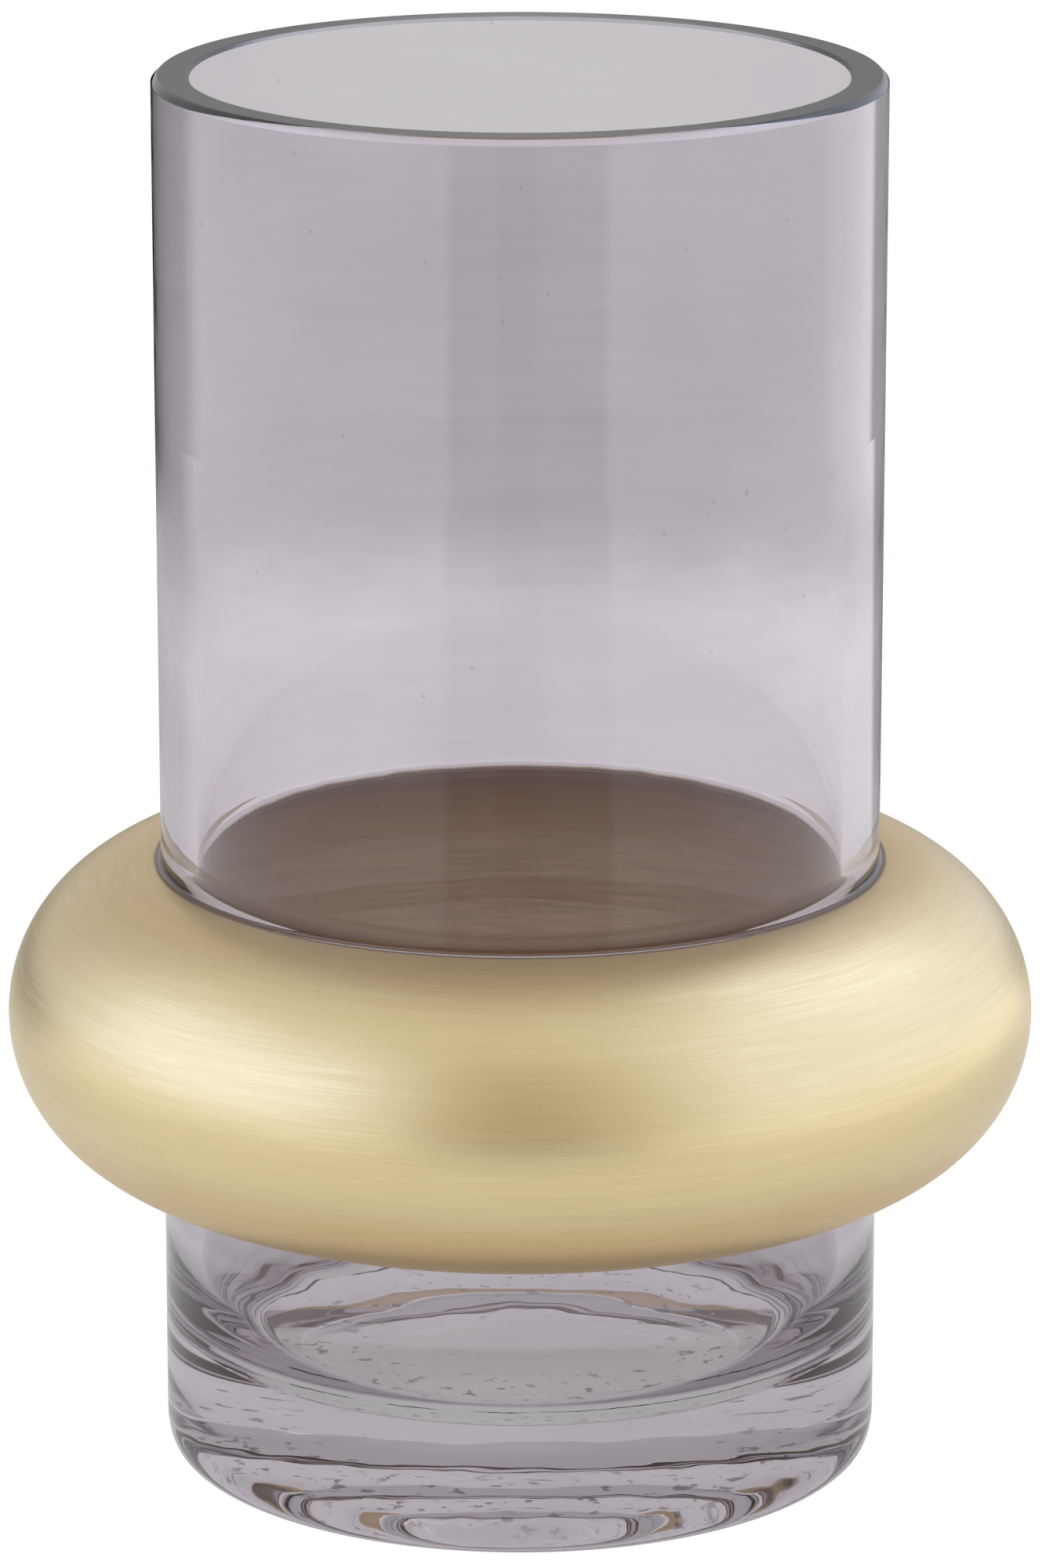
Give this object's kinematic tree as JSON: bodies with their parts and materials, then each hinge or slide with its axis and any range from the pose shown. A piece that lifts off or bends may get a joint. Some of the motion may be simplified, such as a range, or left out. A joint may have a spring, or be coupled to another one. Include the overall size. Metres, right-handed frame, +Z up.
{
  "type": "glass cylinder vase",
  "caption": "Thick smoked-glass cylinder vase with a hollow ring-shaped bulge round its lower half, coated as a brushed metallic band.",
  "frame": {"origin": "centre of the underside, on the surface that the vase stands on", "axes": "+Z up along the vase's turning axis; X and Y are alike, because the vase is round"},
  "size_m": [0.1758, 0.1758, 0.24],
  "materials": {
    "smoked_glass": "polished, with a smoky lavender tint",
    "metallic_coat": "brushed satin coat"
  },
  "bodies": {
    "root": {"glass_vessel": "smoked_glass", "metallic_band": "metallic_coat"}
  },
  "joints": []
}
